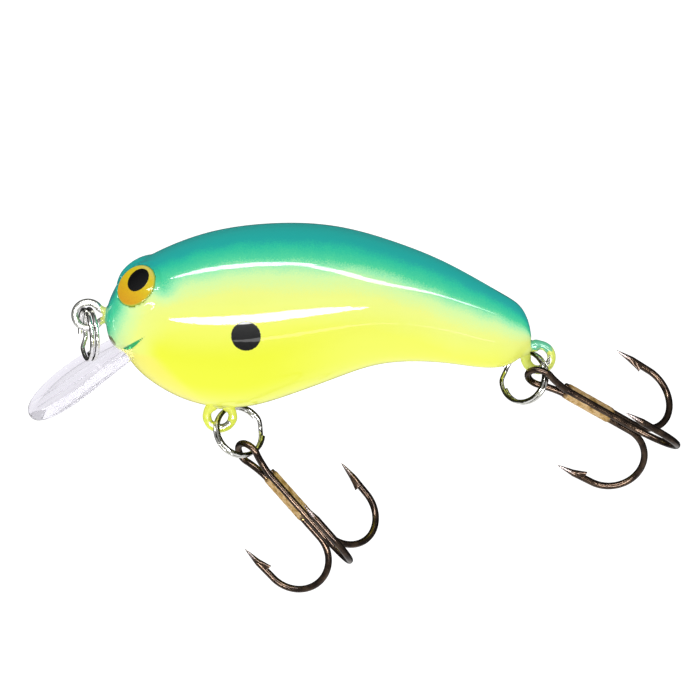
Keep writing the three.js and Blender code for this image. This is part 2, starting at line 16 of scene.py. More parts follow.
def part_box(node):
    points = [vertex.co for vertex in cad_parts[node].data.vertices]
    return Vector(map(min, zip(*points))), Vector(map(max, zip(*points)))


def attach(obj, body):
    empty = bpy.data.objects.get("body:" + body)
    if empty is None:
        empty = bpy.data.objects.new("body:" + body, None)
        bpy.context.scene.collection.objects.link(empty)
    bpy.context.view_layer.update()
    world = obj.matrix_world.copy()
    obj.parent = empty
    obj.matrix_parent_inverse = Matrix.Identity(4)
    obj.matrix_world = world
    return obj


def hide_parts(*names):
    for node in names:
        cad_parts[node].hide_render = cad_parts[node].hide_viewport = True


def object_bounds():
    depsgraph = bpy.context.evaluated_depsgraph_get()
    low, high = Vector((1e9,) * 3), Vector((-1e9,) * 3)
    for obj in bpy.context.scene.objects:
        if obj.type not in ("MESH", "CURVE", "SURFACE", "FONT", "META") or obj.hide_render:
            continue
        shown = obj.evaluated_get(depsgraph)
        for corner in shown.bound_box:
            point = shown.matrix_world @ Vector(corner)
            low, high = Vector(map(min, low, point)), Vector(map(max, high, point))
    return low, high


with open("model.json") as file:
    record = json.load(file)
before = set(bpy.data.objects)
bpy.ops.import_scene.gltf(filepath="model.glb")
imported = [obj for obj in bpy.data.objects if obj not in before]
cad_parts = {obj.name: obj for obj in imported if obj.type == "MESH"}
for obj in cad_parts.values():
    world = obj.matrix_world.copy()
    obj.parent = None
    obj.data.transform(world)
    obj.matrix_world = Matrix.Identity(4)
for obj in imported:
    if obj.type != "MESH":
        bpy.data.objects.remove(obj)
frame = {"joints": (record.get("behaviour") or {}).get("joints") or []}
CAD_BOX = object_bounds()
JOINTS = {joint["name"]: joint for joint in frame["joints"]}
MM = 0.001
MERGE_DISTANCE = 0.0005
Y_AXIS = np.array([0.0, 1.0, 0.0])


def box_mm(node):
    return [np.array(corner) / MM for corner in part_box(node)]


def joint_place(name):
    return np.array(JOINTS[name]["pos_m"]) / MM


def unit(vector):
    vector = np.asarray(vector, float)
    return vector / np.linalg.norm(vector, axis=-1, keepdims=True)


def smooth(value, low, high):
    """0 below low, 1 above high, and a smooth step between them."""
    share = np.clip((np.asarray(value, float) - low) / (high - low), 0, 1)
    return share * share * (3 - 2 * share)


# ===== Curves =====

def spline(points, count):
    """A smooth curve through points of any dimension, as count places along it."""
    points = np.array(points, float)
    gaps = np.sqrt(np.linalg.norm(np.diff(points, axis=0), axis=1))
    knots = np.concatenate([[0], np.cumsum(gaps)])
    size = len(knots)
    matrix = np.eye(size)
    for i in range(1, size - 1):
        matrix[i, i - 1 : i + 2] = gaps[i - 1], 2 * (gaps[i - 1] + gaps[i]), gaps[i]
    right = np.zeros_like(points)
    right[1:-1] = 6 * np.diff(np.diff(points, axis=0) / gaps[:, None], axis=0)
    bend = np.linalg.solve(matrix, right)
    at = np.linspace(0, knots[-1], count)
    k = np.clip(np.searchsorted(knots, at, side="right") - 1, 0, size - 2)
    gap = gaps[k][:, None]
    ahead = (knots[k + 1] - at)[:, None]
    behind = (at - knots[k])[:, None]
    cubic = (bend[k] * ahead**3 + bend[k + 1] * behind**3) / (6 * gap)
    linear = (points[k] / gap - bend[k] * gap / 6) * ahead
    linear += (points[k + 1] / gap - bend[k + 1] * gap / 6) * behind
    return cubic + linear


def reader(points):
    """The height of an outline at x, from the smooth curve through its points."""
    curve = spline(points, 4000)
    along = np.maximum.accumulate(curve[:, 0])
    return lambda x: np.interp(x, along, curve[:, 1])


def resample(path, step):
    """The same path with its points a step apart."""
    lengths = np.concatenate([[0], np.cumsum(np.linalg.norm(np.diff(path, axis=0), axis=1))])
    count = max(2, int(round(lengths[-1] / step)) + 1)
    at = np.linspace(0, lengths[-1], count)
    return np.stack([np.interp(at, lengths, path[:, axis]) for axis in range(3)], axis=1)


# ===== Meshes =====

def grid_faces(rows, columns, wrap=False, start=0):
    """Quads over a grid of points whose number is start + row * columns + column."""
    row, column = np.meshgrid(np.arange(rows - 1), np.arange(columns - (not wrap)), indexing="ij")
    a = start + row * columns + column
    b = start + row * columns + (column + 1) % columns
    return np.stack([a, b, b + columns, a + columns], axis=-1).reshape(-1, 4).tolist()


def add_object(name, data):
    thing = bpy.data.objects.new(name, data)
    bpy.context.scene.collection.objects.link(thing)
    return thing


def turns_round(count):
    """Angles spaced evenly round a circle."""
    return np.arange(count) * (2 * math.pi / count)


def tube_faces(rings, sides):
    """Quads between rings of points, and fans to the start and end points that are listed after them."""
    faces = [quad[::-1] for quad in grid_faces(rings, sides, wrap=True)]
    first, last, last_ring = rings * sides, rings * sides + 1, (rings - 1) * sides
    for side in range(sides):
        after = (side + 1) % sides
        faces += [[after, side, first], [last_ring + side, last_ring + after, last]]
    return faces


def make_piece(name, points, faces, material, body, nodes, attributes=None):
    """A piece from points in millimetres, with its material, body and the CAD nodes it replaces."""
    mesh = bpy.data.meshes.new(name)
    mesh.from_pydata((np.asarray(points) * MM).tolist(), [], faces)
    for key, values in (attributes or {}).items():
        layer = mesh.attributes.new(key, "FLOAT", "POINT")
        layer.data.foreach_set("value", np.asarray(values, np.float32))
    tidy = bmesh.new()
    tidy.from_mesh(mesh)
    bmesh.ops.remove_doubles(tidy, verts=tidy.verts, dist=MERGE_DISTANCE * MM)
    bmesh.ops.recalc_face_normals(tidy, faces=tidy.faces)
    tidy.to_mesh(mesh)
    tidy.free()
    mesh.polygons.foreach_set("use_smooth", [True] * len(mesh.polygons))
    mesh.materials.append(material)
    piece = add_object(name, mesh)
    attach(piece, body)
    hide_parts(*nodes)


def sweep(path, radius, sides, first_across, shape=None):
    """The points and faces of a round wire along a path.

    radius is a number or one for each place. shape(i, out) may move place i's ring of points.
    """
    count = len(path)
    radius = np.broadcast_to(radius, (count,))
    tangents = unit(np.gradient(path, axis=0))
    across = np.asarray(first_across, float)
    angles = turns_round(sides)
    rings = np.zeros((count, sides, 3))
    for i in range(count):
        across = unit(across - tangents[i] * (across @ tangents[i]))
        other = np.cross(tangents[i], across)
        out = np.outer(np.cos(angles), across) + np.outer(np.sin(angles), other)
        rings[i] = path[i] + out * radius[i]
        if shape is not None:
            rings[i] += shape(i, out)
    points = np.concatenate([rings.reshape(-1, 3), path[:1], path[-1:]])
    return points, tube_faces(count, sides)


def with_blunt_ends(path, radius, cut=0.06):
    """A path and its radii, with both ends cut flat and a small round edge on each."""
    steps = np.array([0, 0.3, 1])
    head = path[0] + np.outer(steps, unit(path[1] - path[0]) * cut)
    tail = path[-1] + np.outer(steps[::-1], unit(path[-2] - path[-1]) * cut)
    end = radius - cut * steps[::-1]
    radii = np.concatenate([end, np.full(len(path) - 2, radius), end[::-1]])
    return np.concatenate([head, path[1:-1], tail]), radii


# ===== Materials =====

def srgb(red, green, blue):
    """A linear colour from one given as 0 to 255."""
    shares = [value / 255 for value in (red, green, blue)]
    linear = [s / 12.92 if s <= 0.04045 else ((s + 0.055) / 1.055) ** 2.4 for s in shares]
    return (*linear, 1.0)


def put(tree, socket, value):
    """Joins an input to an output, or sets it to a plain value."""
    if isinstance(value, bpy.types.NodeSocket):
        tree.links.new(value, socket)
    else:
        socket.default_value = value


def add_node(tree, kind, inputs=(), **settings):
    """A shader node of one kind, with its settings, and its inputs joined or set."""
    node = tree.nodes.new(f"ShaderNode{kind}")
    for setting, value in settings.items():
        setattr(node, setting, value)
    for socket, value in dict(inputs).items():
        put(tree, node.inputs[socket], value)
    return node


class Look:
    """A node-based material, with short ways to add its nodes. Places are the object's own, in metres."""

    def __init__(self, name, **sockets):
        self.material = bpy.data.materials.new(name)
        self.material.use_nodes = True
        self.tree = self.material.node_tree
        self.shader = self.tree.nodes["Principled BSDF"]
        for socket, value in sockets.items():
            self.drive(socket.replace("_", " "), value)
        self.place = self.add("TexCoord").outputs["Object"]

    def add(self, kind, inputs=(), **settings):
        return add_node(self.tree, kind, inputs, **settings)

    def drive(self, socket, value):
        put(self.tree, self.shader.inputs[socket], value)

    def colour(self):
        """The colour that drives the shader so far."""
        return self.shader.inputs["Base Color"].links[0].from_socket

    def noise(self, size, detail=2.0, roughness=0.5, stretch=None):
        """Noise whose features are about size millimetres across."""
        place = self.place
        if stretch is not None:
            place = self.add("Mapping", {"Vector": place, "Scale": stretch}).outputs[0]
        sockets = {"Vector": place, "Scale": 1 / (size * MM), "Detail": detail, "Roughness": roughness}
        return self.add("TexNoise", sockets).outputs["Fac"]

    def grains(self, size):
        sockets = {"Vector": self.place, "Scale": 1 / (size * MM)}
        return self.add("TexVoronoi", sockets).outputs["Distance"]

    def value(self, name):
        return self.add("Attribute", attribute_name=name).outputs["Fac"]

    def plus(self, a, b):
        return self.add("Math", {0: a, 1: b}, operation="ADD").outputs[0]

    def times(self, a, b):
        return self.add("Math", {0: a, 1: b}, operation="MULTIPLY").outputs[0]

    def mask(self, name, ragged):
        """One of the mesh's own masks, with a ragged edge."""
        return self.plus(self.value(name), ragged)

    def step(self, value, low, high, start=0.0, end=1.0):
        sockets = {"Value": value, "From Min": low, "From Max": high, "To Min": start, "To Max": end}
        return self.add("MapRange", sockets, interpolation_type="SMOOTHSTEP").outputs[0]

    def ragged(self, noise, reach):
        """Noise spread from -reach to reach."""
        return self.step(noise, 0.3, 0.7, -reach, reach)

    def mix(self, share, a, b):
        return self.add("Mix", {0: share, 6: a, 7: b}, data_type="RGBA").outputs[2]

    def ramp(self, value, stops):
        node = self.add("ValToRGB", {"Fac": value})
        elements = node.color_ramp.elements
        while len(elements) < len(stops):
            elements.new(0.5)
        for element, (place, colour) in zip(elements, stops):
            element.position = place
            element.color = colour
        return node.outputs["Color"]

    def bump(self, height, depth, onto=None):
        """A surface that stands up to depth millimetres where height is 1."""
        node = self.add("Bump", {"Height": height, "Strength": 1.0, "Distance": depth * MM})
        if onto is not None:
            put(self.tree, node.inputs["Normal"], onto)
        return node.outputs["Normal"]


TEAL = srgb(34, 176, 168)
DEEP_GREEN = srgb(42, 200, 163)
GREEN = srgb(76, 216, 160)
MINT = srgb(160, 243, 180)
PALE_LIME = srgb(215, 252, 170)
LIME = srgb(240, 250, 136)
CHARTREUSE = srgb(242, 248, 96)
DEEP_YELLOW = srgb(239, 246, 58)
THROAT_YELLOW = srgb(248, 240, 110)
MOUTH_GREEN = srgb(16, 150, 76)
BLACK = srgb(9, 9, 11)
SMUDGE = srgb(112, 100, 62)


def body_paint():
    """Sprayed teal back over green, mint and chartreuse, under gloss. The mesh carries the masks."""
    look = Look("body_paint", Specular_IOR_Level=0.05, Coat_Weight=0.8, Coat_Roughness=0.03, Coat_IOR=1.4)
    mist = look.noise(0.16, detail=3.0, roughness=0.7)
    clouds = look.noise(2.6, detail=2.0)
    drift = look.plus(look.ragged(mist, 0.012), look.ragged(clouds, 0.006))
    colour = look.ramp(look.mask("fade", drift), [
        (0.0, TEAL), (0.04, TEAL), (0.07, DEEP_GREEN), (0.125, GREEN), (0.165, MINT),
        (0.215, PALE_LIME), (0.31, LIME), (0.5, CHARTREUSE), (1.0, CHARTREUSE),
    ])
    colour = look.mix(look.value("deep"), colour, DEEP_YELLOW)
    colour = look.mix(look.value("throat"), colour, THROAT_YELLOW)
    colour = look.mix(look.value("collar"), colour, LIME)
    smudge = look.mask("smudge", look.ragged(mist, 0.12))
    colour = look.mix(look.step(smudge, 0.15, -0.15, 0.0, 0.85), colour, SMUDGE)
    ragged = look.step(mist, 0.25, 0.75, -0.03, 0.03)
    mouth_ink = look.mix(look.step(clouds, 0.4, 0.6), MOUTH_GREEN, srgb(50, 182, 104))
    colour = look.mix(look.step(look.mask("mouth", ragged), 0.05, -0.04), colour, mouth_ink)
    spot_ink = look.step(look.mask("spot", ragged), 0.04, -0.03)
    speckles = look.step(look.grains(0.3), 0.1, 0.04, 0.0, 0.05)
    colour = look.mix(spot_ink, colour, look.mix(speckles, BLACK, srgb(90, 96, 90)))
    look.drive("Base Color", colour)
    look.drive("Roughness", look.step(mist, 0.2, 0.8, 0.26, 0.4))
    peel = look.bump(look.noise(1.1, detail=1.0), 0.004)
    pigment = look.bump(mist, 0.004, onto=peel)
    look.drive("Normal", look.bump(spot_ink, 0.02, onto=pigment))
    look.drive("Coat Normal", look.bump(spot_ink, 0.01, onto=peel))
    return look.material


def eye_paint():
    """Gold iris, brighter above, with a raised black pupil. The mesh carries the pupil's distance."""
    look = Look("eye_paint", Specular_IOR_Level=0.05, Coat_Weight=0.8, Coat_Roughness=0.02, Coat_IOR=1.4)
    flecks = look.noise(0.22, detail=3.0, roughness=0.65)
    gold = look.ramp(look.value("height"), [
        (0.0, srgb(222, 160, 30)), (0.3, srgb(228, 180, 26)), (0.55, srgb(230, 202, 24)),
        (0.8, srgb(228, 206, 30)), (1.0, srgb(222, 214, 110)),
    ])
    gold = look.mix(look.step(flecks, 0.35, 0.75, 0.0, 0.35), gold, srgb(196, 150, 10))
    gold = look.mix(look.step(look.value("edge"), 0.93, 0.99), gold, srgb(190, 196, 70))
    pupil = look.mask("pupil", look.ragged(flecks, 0.02))
    ink = look.step(pupil, 0.03, -0.02)
    look.drive("Base Color", look.mix(ink, gold, BLACK))
    look.drive("Roughness", look.step(flecks, 0.2, 0.8, 0.22, 0.4))
    peel = look.bump(look.noise(0.9, detail=1.0), 0.003)
    look.drive("Normal", look.bump(ink, 0.02, onto=peel))
    look.drive("Coat Normal", look.bump(ink, 0.015, onto=peel))
    return look.material


def clear_lip():
    """Clear polycarbonate with hairline scratches that all run roughly fore and aft."""
    look = Look("clear_lip", IOR=1.05, Transmission_Weight=1.0, Coat_Weight=0.2, Coat_Roughness=0.04)
    cloud = look.noise(4.0)
    look.drive("Base Color", look.mix(cloud, srgb(232, 229, 240), srgb(242, 240, 247)))
    scratches = look.noise(0.5, detail=4.0, roughness=0.75, stretch=(0.12, 1.6, 0.12))
    look.drive("Roughness", look.step(scratches, 0.55, 0.8, 0.02, 0.1))
    waves = look.bump(look.noise(3.0, detail=1.0), 0.006)
    look.drive("Normal", look.bump(look.step(scratches, 0.6, 0.72), 0.0008, onto=waves))
    return look.material


def metal(name, light, dark, roughness, grain, wear, coat=0.0):
    """Drawn metal: two tones in soft patches, fine grain in its gloss, and wear marks."""
    look = Look(name, Metallic=1.0, Coat_Weight=coat, Coat_Roughness=0.08)
    patches = look.noise(1.3, detail=3.0, roughness=0.6)
    fine = look.noise(grain, detail=2.0, roughness=0.5)
    colour = look.mix(look.step(patches, 0.35, 0.65), light, dark)
    marks = look.step(look.noise(0.35, detail=4.0, roughness=0.75), 0.6, 0.72)
    colour = look.mix(look.times(marks, wear), colour, srgb(150, 146, 138))
    look.drive("Base Color", colour)
    look.drive("Roughness", look.step(fine, 0.3, 0.7, roughness * 0.75, roughness * 1.3))
    look.drive("Normal", look.bump(fine, 0.0003))
    return look


def ring_nickel():
    """Bright plate with painted shade, dark in the groove between the coils and along the wire's flanks."""
    look = metal("ring_nickel", srgb(236, 236, 232), srgb(214, 214, 206), 0.12, 0.6, 0.15)
    bright = look.colour()
    ragged = look.ragged(look.noise(0.5, detail=3.0, roughness=0.65), 0.16)
    # Painted shade: dark colour where the coils press together, standing in for the shade in the groove
    # between them.
    groove_shade = look.step(look.mask("groove", ragged), 0.66, 0.86)
    look.drive("Base Color", look.mix(groove_shade, bright, srgb(52, 52, 42)))
    return look.material


def painted_wire(name, low_colour, high_colour, low_z, high_z):
    """Wire oversprayed with the body's colours, thick and lumpy, and worn bare where the ring rubs."""
    look = Look(name, Roughness=0.35, Coat_Weight=0.8, Coat_Roughness=0.05)
    lumps = look.noise(0.7, detail=2.0)
    fine = look.noise(0.15, detail=3.0, roughness=0.7)
    height = look.add("SeparateXYZ", {0: look.place}).outputs["Z"]
    mottled = look.plus(height, look.ragged(lumps, 0.0004))
    colour = look.mix(look.step(mottled, low_z * MM, high_z * MM), low_colour, high_colour)
    worn = look.step(look.mask("bare", look.ragged(lumps, 0.35)), 0.45, 0.6)
    look.drive("Base Color", look.mix(worn, colour, srgb(205, 205, 198)))
    look.drive("Metallic", worn)
    look.drive("Roughness", look.step(fine, 0.2, 0.8, 0.2, 0.42))
    look.drive("Normal", look.bump(fine, 0.006, onto=look.bump(lumps, 0.07)))
    return look.material


def hook_bronze():
    """Dark bronze lacquer on steel: warm where brazing heat coloured it, bright at the points."""
    look = metal("hook_bronze", srgb(84, 67, 53), srgb(46, 35, 29), 0.2, 0.9, 0.06, coat=0.3)
    base = look.colour()
    ragged = look.ragged(look.noise(0.6, detail=3.0), 0.12)
    gold_share = look.step(look.mask("brazed", ragged), 0.42, 0.58)
    patches = look.step(look.noise(0.5, detail=3.0), 0.35, 0.65)
    tan = look.mix(patches, srgb(168, 136, 84), srgb(122, 96, 48))
    colour = look.mix(look.times(gold_share, 0.85), base, tan)
    bright = look.step(look.mask("point", ragged), 0.3, 0.9, 0.0, 0.8)
    look.drive("Base Color", look.mix(bright, colour, srgb(150, 138, 136)))
    return look.material


def braze_metal():
    """Bronze braze that has run along the shanks: tan to olive gold, pitted and smoky at its ends."""
    look = Look("braze_metal", Metallic=0.35)
    patches = look.noise(0.7, detail=4.0, roughness=0.65)
    pits = look.grains(0.22)
    colour = look.ramp(patches, [
        (0.3, srgb(132, 104, 44)), (0.44, srgb(186, 148, 82)), (0.56, srgb(216, 184, 134)),
        (0.72, srgb(160, 130, 52)),
    ])
    smoke = look.step(look.mask("end", look.ragged(patches, 0.3)), 0.5, 0.95)
    look.drive("Base Color", look.mix(smoke, colour, srgb(92, 66, 40)))
    look.drive("Roughness", look.step(patches, 0.3, 0.7, 0.3, 0.55))
    dents = look.bump(look.step(pits, 0.05, 0.35), 0.012)
    look.drive("Normal", look.bump(patches, 0.05, onto=dents))
    return look.material


# ===== Body =====

BACK_OUTLINE = [
    (2.05, -0.6), (2.25, 0.9), (2.95, 2.8), (4.3, 4.85), (6.9, 6.85), (11.7, 9.05), (16.5, 10.35),
    (22.5, 10.95), (29.5, 10.5), (36.6, 8.5), (42.4, 6.05), (48.4, 2.65), (50.7, 1.0), (51.7, -1.0),
    (52.0, -2.6),
]
BELLY_OUTLINE = [
    (2.05, -0.6), (2.3, -2.2), (2.9, -3.5), (4.2, -4.5), (5.6, -6.2), (7.6, -8.0), (10.7, -9.8),
    (14.2, -10.85), (18.4, -10.95), (23.0, -9.7), (28.6, -7.6), (33.0, -6.05), (37.0, -5.5),
    (42.0, -5.75), (46.5, -6.35), (49.3, -6.05), (51.0, -4.9), (51.8, -3.8), (52.0, -2.6),
]
HALF_WIDTH = [
    (2.05, 0), (2.15, 1.2), (2.6, 2.3), (4.0, 3.9), (6.0, 5.1), (9.0, 6.2), (13.5, 7.0), (19.0, 7.3),
    (25.0, 7.1), (31.0, 6.3), (37.0, 4.9), (43.0, 3.5), (48.0, 2.45), (50.5, 1.75), (51.7, 1.0),
    (52.0, 0),
]
BODY_LOW, BODY_HIGH = box_mm("body_shell_left")
NOSE_X, TAIL_X = BODY_LOW[0], BODY_HIGH[0]
# Each wire's joint, way into the body (x, z), paint collar's radius, hole and leg's end.
HANGERS = {
    "line_tie": ("nose_ring_swing", (1, 0), 1.25, 2.3, 5.4),
    "belly_hanger": ("belly_ring_swing", (0, 1), 1.5, 2.2, 5.2),
    "tail_hanger": ("tail_ring_swing", (-0.82, 0.57), 1.35, 2.2, 6.2),
}
HANDS = ((-1, "left"), (1, "right"))
SECTION_POWER = 2.15
WALL = 1.3
CAVITY_X = (9.5, 45.0)
SEAM_GAP = 0.03
SEAM_ROUND = 0.12
SEAM_ROUND_DEPTH = 0.035
COLLAR_HEIGHT = 0.42
MOUTH_DEPTH = 0.16
HEAD_END_X = 10.5
SECTION_POINTS = 96
CAVITY_POINTS = 24

EYE_CENTRE = np.array([5.95, 3.25, 4.5])
EYE_NORMAL = np.array([-0.5, 0.62, 0.6])
EYE_RADIUS = 2.6
EYE_EDGE_HEIGHT = 0.15
EYE_DOME = 0.5
EYE_RIM_RADIUS = 3.05
EYE_RIM_DROP = 0.34
EYE_SOCKET_HEIGHT = -0.45
EYE_REACH = 3.5
PUPIL_CENTRE = (0.6, 0.28)
PUPIL_AXES = (1.5, 1.36)

MOUTH_LINE = [(4.45, -3.2), (5.1, -2.65), (5.8, -2.0), (6.45, -1.4), (7.0, -0.85)]
MOUTH_HALF_THICKNESS = [0.22, 0.27, 0.2, 0.11, 0.02]
SPOT_CENTRE = (18.7, -0.4)
SPOT_RADIUS = 1.72
SMUDGE_CENTRE = (2.85, -2.55)
SMUDGE_RADIUS = 0.62
FADE_WIDTH = [
    (2, 0.9), (10, 0.95), (18, 0.9), (25, 1.05), (32, 1.2), (39, 1.5), (43, 1.75), (48, 1.7), (52, 2.2),
]
FADE_BLEND = 0.03
CHEEK_TINT, CHEEK_CENTRE, CHEEK_SPREAD = 0.075, (9.4, 4.2), 2.2
NO_MASK = 0.6

back_at = reader(BACK_OUTLINE)
belly_at = reader(BELLY_OUTLINE)
half_width_at = reader(HALF_WIDTH)


def body_stations():
    """Places along the body, crowded at both ends and close together over the head."""
    x = NOSE_X + 0.004
    stations = []
    while x < TAIL_X - 0.004:
        stations.append(x)
        from_end = min(x - NOSE_X, TAIL_X - x)
        widest = 0.14 if x < HEAD_END_X else 0.3
        x += min(widest, 0.012 + 0.22 * from_end)
    return np.array(stations)


def section_angles():
    """Angles from the back to the belly, with a few extra close to the seam."""
    close = np.array([0, 0.004, 0.01, 0.02, 0.035])
    middle = np.linspace(0.06, math.pi - 0.06, SECTION_POINTS - 2 * len(close))
    return np.concatenate([close, middle, math.pi - close[::-1]])


def body_surface(x, angle, side, inset=0.0):
    """The body's surface on one side: x and angle are arrays of one shape."""
    top, bottom = back_at(x) - inset, belly_at(x) + inset
    half = half_width_at(x) - inset
    round_out = np.abs(np.sin(angle)) ** (2 / SECTION_POWER)
    up = np.sign(np.cos(angle)) * np.abs(np.cos(angle)) ** (2 / SECTION_POWER)
    y = np.maximum(half * round_out, SEAM_GAP / 2)
    z = (top + bottom) / 2 + (top - bottom) / 2 * up
    return np.stack([x, side * y, z], axis=-1)


def surface_normals(points):
    """Outward normals of a grid of surface points."""
    normals = np.cross(np.gradient(points, axis=1), np.gradient(points, axis=0))
    normals = unit(normals + 1e-12)
    middle = points.copy()
    middle[..., 1] = 0
    middle[..., 2] = points[..., 2].mean(axis=1, keepdims=True)
    flip = np.sum(normals * (points - middle), axis=-1, keepdims=True) < 0
    return np.where(flip, -normals, normals)


def eye_axes(side):
    """The eye's centre and its normal, upward and tailward axes on one side."""
    mirror = np.array([1, side, 1])
    normal = unit(EYE_NORMAL * mirror)
    upward = unit(np.array([0, 0, 1.0]) - normal * normal[2])
    backward = np.cross(upward, normal) * -side
    return EYE_CENTRE * mirror, normal, upward, backward


def raise_eye_mound(points, side):
    """Raises the moulded socket that the eye sits in."""
    centre, normal, _, _ = eye_axes(side)
    offset = points - centre
    height = offset @ normal
    radius = np.linalg.norm(offset - height[..., None] * normal, axis=-1)
    rim = EYE_EDGE_HEIGHT - EYE_RIM_DROP * smooth(radius, EYE_RIM_RADIUS - 0.4, EYE_RIM_RADIUS + 0.12)
    target = np.where(radius < EYE_RADIUS + 0.02, EYE_SOCKET_HEIGHT, rim)
    share = 1 - smooth(radius, EYE_RIM_RADIUS - 0.05, EYE_RIM_RADIUS + 0.5)
    lift = np.where(np.abs(height) < EYE_REACH, (target - height) * share, 0)
    return points + lift[..., None] * normal


def line_distance(x, z, line, thickness):
    """Distance in the X-Z plane to a line that has a half thickness at each of its points."""
    line = spline(line, 60)
    thickness = np.interp(np.linspace(0, 1, 60), np.linspace(0, 1, len(thickness)), thickness)
    gaps = np.hypot(x[..., None] - line[:, 0], z[..., None] - line[:, 1]) - thickness
    return gaps.min(axis=-1)


def collar_share(points):
    """1 where a wire leaves the body, under the paint that gathers round it."""
    share = np.zeros(points.shape[:-1])
    for joint, (inward_x, inward_z), reach, _, _ in HANGERS.values():
        inward = unit([inward_x, 0, inward_z])
        offset = points - joint_place(joint)
        along = offset @ inward
        from_axis = np.linalg.norm(offset - along[..., None] * inward, axis=-1)
        close = (along > -1) & (along < 4)
        share = np.maximum(share, np.where(close, 1 - smooth(from_axis, 0.45, reach), 0))
    return share


def cavity_surface(stations, side):
    """The inside of the wall, closed smoothly at both ends: one ring of points for each station."""
    cavity_x = np.interp(stations, stations[[0, -1]], CAVITY_X)
    angles = np.linspace(0, math.pi, CAVITY_POINTS)
    inner = body_surface(*np.meshgrid(cavity_x, angles, indexing="ij"), side, inset=WALL)
    ends = np.maximum(1 - np.abs(np.linspace(-1, 1, len(stations))) ** 10, 0.01)
    middle = inner.mean(axis=1, keepdims=True) * np.array([1, 0, 1]) + [0, side * SEAM_GAP / 2, 0]
    return middle + (inner - middle) * np.sqrt(ends)[:, None, None]


def shell_faces(rows, columns):
    """Faces of the outer and inner grids, the seam between them, and the closed nose and tail."""
    start = rows * columns
    inner_last = start + (rows - 1) * CAVITY_POINTS
    nose_point = start + rows * CAVITY_POINTS
    tail_point = nose_point + 1
    last = (rows - 1) * columns
    faces = grid_faces(rows, columns)
    faces += [quad[::-1] for quad in grid_faces(rows, CAVITY_POINTS, start=start)]
    for row in range(rows - 1):
        for edge, inner_edge, turn in ((0, 0, 1), (columns - 1, CAVITY_POINTS - 1, -1)):
            a, b = row * columns + edge, (row + 1) * columns + edge
            c = start + (row + 1) * CAVITY_POINTS + inner_edge
            faces.append([a, b, c, c - CAVITY_POINTS][::turn])
    for column in range(columns - 1):
        faces.append([nose_point, column + 1, column])
        faces.append([last + column, last + column + 1, tail_point])
    faces.append([start, start + CAVITY_POINTS - 1, columns - 1, nose_point, 0])
    faces.append([last, tail_point, last + columns - 1, inner_last + CAVITY_POINTS - 1, inner_last])
    faces.append(list(range(start, start + CAVITY_POINTS)))
    faces.append(list(range(inner_last, inner_last + CAVITY_POINTS))[::-1])
    return faces


def paint_masks(outer, plain, mouth, collar):
    """What the paint needs to know at each point: how far down the fade it is, and each mark's edge."""
    x, height = plain[..., 0], plain[..., 2]
    rise = (height - belly_at(x)) / np.maximum(back_at(x) - belly_at(x), 0.1)
    fade = (1 - rise) / np.interp(x, *zip(*FADE_WIDTH))
    from_cheek = (x - CHEEK_CENTRE[0]) ** 2 + (height - CHEEK_CENTRE[1]) ** 2
    fade -= CHEEK_TINT * np.exp(-from_cheek / CHEEK_SPREAD)
    front = 0.035 + (x - NOSE_X) * 0.052 + 0.024 * (2 - height)
    fade = -FADE_BLEND * np.log(np.exp(-fade / FADE_BLEND) + np.exp(-front / FADE_BLEND))
    deep = smooth(rise, 0.55, 0.33) * smooth(x, 33, 20) * smooth(rise, 0.06, 0.2) * smooth(x, 6.5, 9)
    throat = smooth(x + 0.9 * (height + 5), 10.5, 8.2) * smooth(height, -3.0, -3.8)
    from_spot = np.hypot(outer[..., 0] - SPOT_CENTRE[0], (outer[..., 2] - SPOT_CENTRE[1]) * 0.97)
    from_smudge = np.hypot(outer[..., 0] - SMUDGE_CENTRE[0], (outer[..., 2] - SMUDGE_CENTRE[1]) * 0.9)
    return {
        "fade": fade, "deep": deep, "throat": throat * 0.8, "collar": smooth(collar, 0.05, 0.5),
        "spot": from_spot - SPOT_RADIUS, "mouth": mouth,
        "smudge": from_smudge - SMUDGE_RADIUS + smooth(np.abs(outer[..., 1]), 2.2, 3.0),
    }


def body_shell(hand, side, material):
    """One half of the body: its wall, with the seam's round edge, eye socket, mouth and wire collars."""
    stations = body_stations()
    plain = body_surface(*np.meshgrid(stations, section_angles(), indexing="ij"), side)
    normals = surface_normals(plain)
    rounding = 1 - smooth(np.abs(plain[..., 1]), SEAM_GAP / 2, SEAM_ROUND)
    outer = plain - normals * (SEAM_ROUND_DEPTH * rounding)[..., None]
    collar = collar_share(outer)
    outer += normals * (COLLAR_HEIGHT * collar)[..., None]
    mouth = line_distance(outer[..., 0], outer[..., 2], MOUTH_LINE, MOUTH_HALF_THICKNESS)
    outer -= normals * (MOUTH_DEPTH * (1 - smooth(mouth, -0.22, 0.1)))[..., None]
    outer = raise_eye_mound(outer, side)
    outer[..., 1] = side * np.maximum(side * outer[..., 1], SEAM_GAP / 2)
    inner = cavity_surface(stations, side).reshape(-1, 3)
    ends = [[x, side * SEAM_GAP / 2, outer[row, :, 2].mean()] for x, row in ((NOSE_X, 0), (TAIL_X, -1))]
    rows, columns = outer.shape[:2]
    faces = shell_faces(rows, columns)
    if side > 0:
        faces = [face[::-1] for face in faces]
    attributes = {}
    for key, mask in paint_masks(outer, plain, mouth, collar).items():
        at_ends = [mask[0, columns // 2], mask[-1, columns // 2]]
        attributes[key] = np.concatenate([mask.ravel(), np.full(len(inner), NO_MASK), at_ends])
    make_piece(f"body_skin_{hand}", np.concatenate([outer.reshape(-1, 3), inner, ends]), faces,
               material, "body", [f"body_shell_{hand}"], attributes)


paint = body_paint()
for side, hand in HANDS:
    body_shell(hand, side, paint)


# ===== Eyes =====

